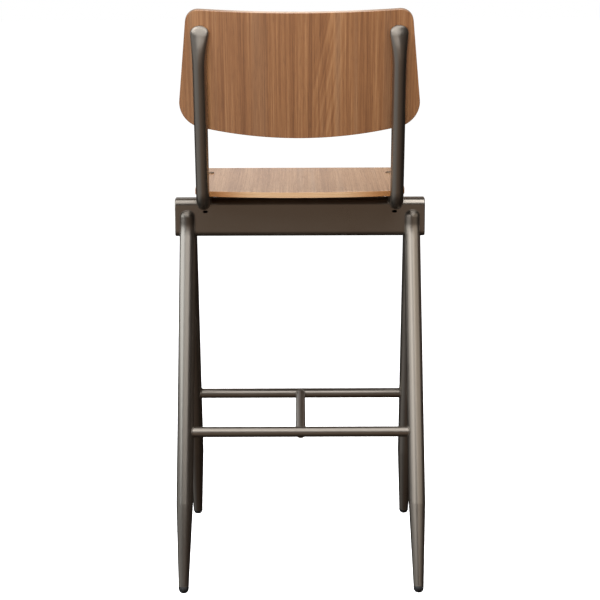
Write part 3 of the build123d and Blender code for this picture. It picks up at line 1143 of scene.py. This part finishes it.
@dataclass(frozen=True)
class WeldBeads:
    """Weld beads round the joints of the frame: thin rippled rings, painted over.

    Fields: the frame's sizes, the beads' radii, the length of one ripple and its height as a share of the
    radius, the number of points round a bead's section and along it, the number of halvings that find a
    meeting point, and the crease in degrees.
    """

    tubes: Tubes = Tubes()
    leg_bead: float = 0.0012
    arm_bead: float = 0.0017
    bar_bead: float = 0.0013
    ripple: float = 0.0024
    ripple_height: float = 0.10
    section: int = 10
    stations: int = 220
    halvings: int = 40
    crease: float = 60.0

    def meet(self, start: np.ndarray, toward: np.ndarray, skin: Skin, reach: float) -> np.ndarray:
        """Walks lines until they meet a skin, by halving.

        Args:
            start: one point outside the skin for each line
            toward: direction of the lines
            skin: distance outside the skin
            reach: length within which every line is inside the skin

        Returns:
            The point on the skin for each line.
        """
        low, high = np.zeros(len(start)), np.full(len(start), reach)
        for _ in range(self.halvings):
            half = (low + high) / 2
            outside = skin(start + half[:, None] * toward) > 0
            low, high = np.where(outside, half, low), np.where(outside, high, half)
        return start + low[:, None] * toward

    @staticmethod
    def ring(middle: np.ndarray, axis: np.ndarray, radius: float, angles: np.ndarray) -> np.ndarray:
        """Draws a circle about an axis, angle 0 towards the axis crossed with Z, or with Y if upright.

        Args:
            middle: the circle's middle
            axis: its axis
            radius: its radius
            angles: where its points lie

        Returns:
            The points.
        """
        pole = np.array([0.0, 1.0, 0.0]) if abs(axis[2]) > 0.7 else np.array([0.0, 0.0, 1.0])
        across = unit(np.cross(axis, pole))
        third = np.cross(across, axis)
        return middle + radius * (np.cos(angles)[:, None] * across + np.sin(angles)[:, None] * third)

    def bead(self, path: np.ndarray, middle: np.ndarray, radius: float, closed: bool = True) -> Shell:
        """Carries a round section along a path, its radius rising and falling like laid weld ripples.

        Args:
            path: points of the path, in order
            middle: a point inside the path, away from which the section's first axis points
            radius: the bead's radius
            closed: whether the path runs back to its start; if not, both ends thin out to a point

        Returns:
            The closed surface.
        """
        route = np.vstack([path, path[:1]]) if closed else path
        run = np.concatenate([[0.0], np.cumsum(np.linalg.norm(np.diff(route, axis=0), axis=1))])
        share = np.linspace(0.0, 1.0, self.stations, endpoint=not closed)
        line = np.stack([np.interp(share * run[-1], run, route[:, i]) for i in range(3)], axis=1)
        if closed:
            ahead = unit(np.roll(line, -1, axis=0) - np.roll(line, 1, axis=0))
        else:
            ahead = unit(np.gradient(line, axis=0))
        away = line - middle
        away = unit(away - np.einsum("ij,ij->i", away, ahead)[:, None] * ahead)
        third = np.cross(ahead, away)
        waves = max(1, round(run[-1] / self.ripple))
        swell = radius * (1.0 + self.ripple_height * np.cos(2 * pi * waves * share))
        turn = np.linspace(0.0, 2 * pi, self.section, endpoint=False)
        spoke = np.cos(turn)[None, :, None] * away[:, None] + np.sin(turn)[None, :, None] * third[:, None]
        if closed:
            return Shell.tube(line[:, None] + swell[:, None, None] * spoke)
        swell = swell * np.sqrt(1.0 - (2.0 * share - 1.0) ** 8)
        grid = line[:, None] + swell[:, None, None] * spoke
        return Shell.capped(grid[1:-1], line[[0, -1]])

    def leg_loops(self) -> list[Shell]:
        """Lays a bead round the top of each left leg, where each line of its skin first enters the rail.

        Returns:
            The two beads.
        """
        angles = np.linspace(0.0, 2 * pi, 720, endpoint=False)
        each = np.arange(len(angles))
        shells = []
        for place in Place:
            lines = self.tubes.leg_lines(place, angles)
            skin = self.tubes.rail_skin(lines)
            entry = np.argmax(skin < 0, axis=1)
            last, first = skin[each, entry - 1], skin[each, entry]
            share = (last / (last - first))[:, None]
            loop = lines[each, entry - 1] * (1.0 - share) + lines[each, entry] * share
            shells.append(self.bead(loop, loop.mean(axis=0), self.leg_bead))
        return shells

    def arm_loop(self) -> list[Shell]:
        """Lays a bead round the saddle of the left arm: its lower lines meet the rail behind and in front.

        The lines start 30 mm behind the rail and 34 mm in front of it, and the loop leaves out those that
        pass over the rail's top.

        Returns:
            The bead, in a list.
        """
        tubes = self.tubes
        axis = unit(np.array([0.0, 1.0, -tubes.arm_rise]))
        rear = tubes.rail_y + tubes.rail_half_depth
        middle = np.array([tubes.arm_x, rear, tubes.arm_z])
        brim = tubes.rail_z + tubes.rail_half_height - 0.0002
        brink = np.arcsin((brim - tubes.arm_z) / tubes.arm_radius)
        spread = self.ring(middle, axis, tubes.arm_radius, np.linspace(brink, -pi - brink, 120))
        behind = self.meet(spread + axis * 0.03, -axis, tubes.rail_skin, 0.05)
        before = self.meet(spread - axis * 0.08, axis, tubes.rail_skin, 0.055)
        loop = np.vstack([behind, before[::-1]])
        above = loop.mean(axis=0) + np.array([0.0, 0.0, 0.02])
        return [self.bead(loop, above, self.arm_bead)]

    def bar_loops(self) -> list[Shell]:
        """Lays a bead round the left end of each cross bar, where its lines meet the leg.

        Returns:
            The two beads.
        """
        tubes = self.tubes
        angles = np.linspace(0.0, 2 * pi, 160, endpoint=False)
        outward = np.array([1.0, 0.0, 0.0])
        shells = []
        for place in Place:
            start = self.ring(tubes.bar(place) + outward * 0.15, outward, tubes.bar_radius, angles)
            loop = self.meet(start, outward, tubes.leg_skin(place), 0.07)
            shells.append(self.bead(loop, loop.mean(axis=0), self.bar_bead))
        return shells

    def centre_arcs(self) -> list[Shell]:
        """Lays a bead over each end of the centre bar, as far down as it still touches the cross bar.

        Returns:
            The two beads, open at their lower ends.
        """
        tubes = self.tubes
        front = tubes.bar(Place.FRONT)
        rear = tubes.bar(Place.REAR) - np.array([0.0, 0.0, tubes.centre_drop])
        along = unit(rear - front)
        shells = []
        for place, end, toward, drop in (
            (Place.FRONT, front, -along, 0.0),
            (Place.REAR, rear, along, tubes.centre_drop),
        ):
            low = np.arcsin(max(-0.98, (drop - tubes.bar_radius) * 0.95 / tubes.centre_radius))
            angles = np.linspace(low, pi - low, 120)
            start = self.ring(end - toward * 0.03, along, tubes.centre_radius, angles)
            arc = self.meet(start, toward, tubes.bar_skin(place), 0.03)
            shells.append(self.bead(arc, end - toward * 0.01, self.bar_bead, closed=False))
        return shells

    def dress(self, paint: bpy.types.Material, leg_paint_with_painted_shade: bpy.types.Material) -> None:
        """Builds the beads of both sides and paints them.

        Args:
            paint: the frame's paint
            leg_paint_with_painted_shade: the legs' paint, darkened on their tops as painted shade
        """
        sides = {
            "leg_weld_beads": (self.leg_loops(), leg_paint_with_painted_shade),
            "arm_weld_beads": (self.arm_loop(), paint),
            "bar_weld_beads": (self.bar_loops(), paint),
        }
        for name, (left, finish) in sides.items():
            shell = Shell.join(left + [bead.mirrored() for bead in left])
            add_piece(shell.object(name, [finish], self.crease), Slot.FRAME)
        centre = Shell.join(self.centre_arcs())
        add_piece(centre.object("centre_weld_beads", [paint], self.crease), Slot.FRAME)


@dataclass(frozen=True)
class Panel:
    """A soft rectangular light panel, with flags that keep it off some pieces.

    Fields: its name, its middle, the point it faces, its width and height, its radiance, the names of the
    pieces flagged off, and its tint.
    """

    name: str
    place: Triple
    target: Triple
    size: tuple[float, float]
    radiance: float
    flagged: tuple[str, ...] = ()
    tint: Triple = (1.0, 1.0, 1.0)

    def build(self, nodes: Nodes) -> None:
        """Adds the light; its power is pi times its area times its radiance.

        Args:
            nodes: the CAD objects by name; other flagged pieces are the scene's own
        """
        data = bpy.data.lights.new(self.name, "AREA")
        data.shape = "RECTANGLE"
        data.size, data.size_y = self.size
        data.energy = pi * self.size[0] * self.size[1] * self.radiance
        data.color = self.tint
        made = bpy.data.objects.new(self.name, data)
        facing = (Vector(self.target) - Vector(self.place)).to_track_quat("-Z", "Y")
        made.matrix_world = Matrix.Translation(Vector(self.place)) @ facing.to_matrix().to_4x4()
        made.visible_camera = False
        bpy.context.scene.collection.objects.link(made)
        if self.flagged:
            flag = bpy.data.collections.new(f"{self.name}_flag")
            for name in self.flagged:
                flag.objects.link(nodes.get(name) or bpy.data.objects[name])
            made.light_linking.receiver_collection = flag
            for item in flag.collection_objects:
                item.light_linking.link_state = "EXCLUDE"


def both(*names: str) -> tuple[str, ...]:
    """The left and the right piece of each name."""
    return tuple(f"{name}_{side}" for name in names for side in ("left", "right"))


LEFT_LEGS = ("rear_leg_left", "front_leg_left")
RIGHT_LEGS = ("rear_leg_right", "front_leg_right")
LEGS = LEFT_LEGS + RIGHT_LEGS
RAIL = ("cross_rail",) + both("rail_end_cap")
POSTS = both("back_post")
BARS = ("footrest_front_bar", "footrest_rear_bar", "footrest_centre_bar")
BEADS = ("leg_weld_beads", "arm_weld_beads", "bar_weld_beads", "centre_weld_beads")
SEAT = ("seat_board", "seat_screw_set")
BACK = ("back_board", "back_screw_set")
SLIM = BARS + POSTS + BEADS
METAL = LEGS + RAIL + SLIM


@dataclass(frozen=True)
class Studio:
    """White floor, soft panels, dim surroundings and a camera placed as for the photograph.

    Fields: the camera's place, pitch, roll, lens (as a share of the sensor's width) and sensor, the floor's
    radii, rings, points round and thickness, and the panels. Four stand on the left and on the camera's
    side, one hangs overhead, and the other four are each for one part: the boards, the back, the rail and
    the left post.
    """

    eye: Triple = (0.0004, 3.416, 1.181)
    pitch: float = radians(11.06)
    roll: float = radians(-0.19)
    focal_share: float = 1760.34 / 600.0
    sensor: float = 36.0
    floor_radii: tuple[float, float] = (0.05, 30.0)
    floor_rings: int = 24
    floor_points: int = 96
    floor_thickness: float = 0.02
    panels: tuple[Panel, ...] = (
        Panel(
            name="left_panel", place=(1.7, 0.45, 1.24), target=(0.0, 0.45, 1.24), size=(2.1, 1.36),
            radiance=2.05, tint=(0.88, 0.95, 1.0), flagged=RIGHT_LEGS + POSTS + BEADS + SEAT + BACK,
        ),
        Panel(
            name="front_panel", place=(0.3, 1.9, 1.6), target=(0.0, 0.0, 0.7), size=(2.5, 1.5),
            radiance=0.96, flagged=RAIL + BACK,
        ),
        Panel(
            name="near_panel", place=(1.28, 1.23, 1.18), target=(-0.22, 0.06, 0.8), size=(2.2, 1.6),
            radiance=1.13, flagged=LEFT_LEGS + RAIL + SLIM + BACK,
        ),
        Panel(
            name="right_panel", place=(-1.4, 1.4, 1.22), target=(0.0, 0.0, 0.6), size=(2.8, 1.6),
            radiance=0.76, tint=(1.0, 0.92, 0.82), flagged=LEFT_LEGS + RAIL + SLIM,
        ),
        Panel(
            name="top_panel", place=(0.2, 1.0, 2.9), target=(0.0, 0.1, 0.6), size=(4.4, 3.2), radiance=1.4
        ),
        Panel(
            name="board_panel", place=(0.0, 0.2, 3.0), target=(0.0, 0.1, 0.7), size=(3.0, 3.0),
            radiance=2.6, flagged=METAL,
        ),
        Panel(
            name="back_panel", place=(0.42, 1.8, 1.45), target=(0.0, 0.25, 0.97), size=(1.1, 0.9),
            radiance=7.15, flagged=METAL + SEAT,
        ),
        Panel(
            name="rail_panel", place=(-0.75, 1.0, 2.4), target=(-0.24, 0.05, 0.7), size=(1.3, 2.4),
            radiance=1.7, flagged=LEGS + SLIM + SEAT + BACK,
        ),
        Panel(
            name="spoon_panel", place=(1.6, 0.6, 2.0), target=(0.18, 0.2, 1.05), size=(1.3, 1.0),
            radiance=2.2, flagged=LEGS + RAIL + BARS + POSTS[1:] + BEADS + SEAT + BACK,
        ),
    )

    def camera(self) -> None:
        """Adds the camera: it looks along -Y, tipped down by the pitch and turned by the roll."""
        data = bpy.data.cameras.new("camera")
        data.sensor_width = self.sensor
        data.lens = self.focal_share * self.sensor
        data.clip_end = 200.0
        made = bpy.data.objects.new("camera", data)
        turn = (
            Matrix.Rotation(pi, 4, "Z")
            @ Matrix.Rotation(pi / 2 - self.pitch, 4, "X")
            @ Matrix.Rotation(self.roll, 4, "Z")
        )
        made.matrix_world = Matrix.Translation(Vector(self.eye)) @ turn
        bpy.context.scene.collection.objects.link(made)
        bpy.context.scene.camera = made

    def floor(self) -> None:
        """Adds a flat round floor: rings whose radius grows by a steady ratio, finest under the stool.

        The stool neither reflects it nor takes light from it.
        """
        radius = np.geomspace(*self.floor_radii, self.floor_rings)[:, None]
        angle = np.linspace(0.0, 2 * pi, self.floor_points, endpoint=False)
        flat = np.zeros((self.floor_rings, self.floor_points))
        ring = np.stack([radius * np.cos(angle), radius * np.sin(angle), flat], axis=-1)
        under = np.array([0.0, 0.0, -self.floor_thickness])
        rows = np.concatenate([ring, ring[::-1] + under])
        paper = FloorPaper("floor_paper").build()
        made = Shell.capped(rows, np.array([np.zeros(3), under])).object("studio_floor", [paper], 30.0)
        made.visible_glossy = False
        made.visible_diffuse = False

    def world(self) -> None:
        """Adds the surroundings: dim warm ground on the camera's side, a white band low on the far side.

        The ground is lighter and whiter on the stool's left, and the band is dimmer on its right. The rest
        is nearly dark, so that the panels shape the tubes. The camera itself sees white.
        """
        world = bpy.data.worlds.new("studio")
        world.use_nodes = True
        graph = Graph(world.node_tree)
        x, y, z = graph.split(graph.node("ShaderNodeTexCoord", output="Generated"))
        ground = graph.step(z, 0.14, 0.0) * graph.step(y + x * 0.35, -0.1, 0.15)
        ground = ground * (1.0 - graph.step(z, -0.55, -0.85) * 0.8)
        sweep = graph.step(y, -0.1, -0.5) * graph.step(z, -0.02, 0.06)
        sweep = sweep * (1.0 - graph.step(z, 0.13, 0.25) * 0.87)
        sweep = sweep * (0.3 + graph.step(x, -0.10, 0.03) * 0.7)
        level = 0.02 + ground * (0.18 + x * 0.17 + graph.step(z, -0.4, -0.2) * 0.04) + sweep * 0.9
        tint = graph.blend((1.0, 0.72, 0.53, 1.0), WHITE, graph.step(x, 0.0, 0.6) + sweep)
        seen = graph.node("ShaderNodeLightPath", output="Is Camera Ray")
        colour = graph.blend(tint, WHITE, seen)
        strength = level + seen * (1.0 - level)
        back = graph.node("ShaderNodeBackground", inputs={"Color": colour, "Strength": strength})
        graph.node("ShaderNodeOutputWorld", inputs={"Surface": back})
        bpy.context.scene.world = world

    def build(self, nodes: Nodes) -> None:
        """Sets up the whole studio, with plain screen colours.

        Args:
            nodes: the CAD objects by name, for the panels' flags
        """
        settings = bpy.context.scene.view_settings
        settings.view_transform = "Standard"
        settings.look = "None"
        self.camera()
        self.floor()
        for panel in self.panels:
            panel.build(nodes)
        self.world()


@dataclass(frozen=True)
class CadPieces:
    """The tubes, caps, tips, plugs and nuts, whose CAD shape stays as it is."""

    painted: tuple[str, ...] = RAIL + POSTS + BARS
    moulded: tuple[str, ...] = both("rear_foot_tip", "front_foot_tip", "arm_end_plug")
    plated: tuple[str, ...] = ("seat_insert_nuts", "backrest_insert_nuts")

    def dress(self, nodes: Nodes, paint: bpy.types.Material, leg_paint_with_painted_shade: bpy.types.Material) -> None:
        """Gives each CAD piece its finish.

        Args:
            nodes: the CAD objects by name
            paint: the frame's paint
            leg_paint_with_painted_shade: the legs' paint, darkened on their tops as painted shade
        """
        plastic = TipPlastic("moulded_tip").build()
        zinc = Steel("zinc_nut").build()
        dressed = (
            (self.painted, paint),
            (LEGS, leg_paint_with_painted_shade),
            (self.moulded, plastic),
            (self.plated, zinc),
        )
        for names, finish in dressed:
            for name in names:
                nodes[name].material_slots[0].material = finish
                LOG.info("%s: %s", name, finish.name)


def seat_board() -> SeatBoard:
    """The seat's outline: bulging rear and front edges between sides that widen to the front."""
    return SeatBoard(
        name="seat_board",
        node="seat_panel",
        slot=Slot.SEAT,
        first=Edge.through(0.1202, 0.200, 0.094, 0.040),
        last=Edge.through(-0.263, 0.2065, -0.250, 0.045),
        side_first=(0.200, 0.094),
        side_last=(0.2065, -0.250),
    )


def back_board() -> BackBoard:
    """The backrest's outline: straight top, sides that widen downwards, bulging lower edge."""
    return BackBoard(
        name="back_board",
        node="backrest_panel",
        slot=Slot.BACK,
        first=Edge(0.3314, 1.0e4, -1.0, 0.026),
        last=Edge.through(0.0947, 0.227, 0.116, 0.044),
        side_first=(0.2053, 0.3314),
        side_last=(0.227, 0.116),
    )


def seat_screws(board: SeatBoard) -> ScrewSet:
    """Places the seat's screws, which go into the arms, square to the seat.

    Args:
        board: the seat

    Returns:
        The screws.
    """
    plan = np.array([[Tubes().arm_x, y] for y in (-0.139, 0.060)])
    top = board.lift(plan, np.zeros(len(plan)))
    return ScrewSet(
        name="seat_screw_set",
        node="seat_screws",
        places=tuple(map(tuple, top.tolist())),
        axis=(0.0, sin(board.pitch), cos(board.pitch)),
    )


def back_screws(board: BackBoard) -> ScrewSet:
    """Places the backrest's screws, driven from the hollow side towards each post's axis.

    Args:
        board: the backrest

    Returns:
        The screws.
    """
    reach = board.bend + board.post_radius
    aside = -board.post_x / reach
    ahead = sqrt(1.0 - aside**2)
    face = np.array([aside, -ahead * cos(board.slope), ahead * sin(board.slope)])
    up = np.array([0.0, sin(board.slope), cos(board.slope)])
    datum = np.array([board.post_x, board.datum_y, board.datum_z])
    heights = np.array([0.142, 0.284])[:, None]
    skin = datum + up * heights + face * (board.post_radius + board.thickness)
    return ScrewSet(
        name="back_screw_set",
        node="backrest_screws",
        places=tuple(map(tuple, skin.tolist())),
        axis=tuple(face.tolist()),
    )


def main() -> None:
    """Loads the frame and dresses the stool from the ground up."""
    logging.basicConfig(level=logging.INFO, format="%(name)s: %(message)s")
    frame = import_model()
    paint = FramePaint("bronze_paint").build()
    bronze = Steel("bronzed_screw", tone(150, 128, 108), tone(118, 98, 80), 0.42).build()
    # The legs' paint darkens between 664 and 677 mm and above: painted shade on the legs' tops under the
    # seat and rail
    leg_paint_with_painted_shade = FramePaint("leg_paint_with_painted_shade", painted_shade_heights=(0.664, 0.677)).build()
    CadPieces().dress(frame["nodes"], paint, leg_paint_with_painted_shade)
    WeldBeads().dress(paint, leg_paint_with_painted_shade)
    seat, back = seat_board(), back_board()
    # The seat's walnut is a paler copy of the backrest's: its lighter tones are painted light and sheen on
    # the seat's top
    seat_veneer = Veneer(
        "seat_walnut_painted_light",
        seed=4.0,
        dark=tone(149, 111, 82),
        mid=tone(175, 136, 103),
        light=tone(198, 159, 124),
        grey=tone(175, 146, 122),
        shares=(0.38, 0.32, 0.30),
    )
    seat.dress(seat_veneer, PlyEdge("ply_edge"))
    turn = back.slope - pi / 2
    back_veneer = Veneer("back_walnut", turn=turn, seed=1.0, slant=0.21, slant_at=(-0.052, 0.984))
    # The backrest's ply edge is greyer and darker, and darkens most towards its sides: that side darkening
    # is painted shade where the arris turns away from the light
    back_edge = PlyEdge(
        "back_ply_edge",
        pale=tone(182, 164, 148),
        gold=tone(164, 140, 120),
        ends=tone(128, 104, 86),
    )
    back.dress(back_veneer, back_edge)
    seat_screws(seat).dress(bronze)
    back_screws(back).dress(bronze)
    Studio().build(frame["nodes"])


if __name__ == "__main__":
    main()
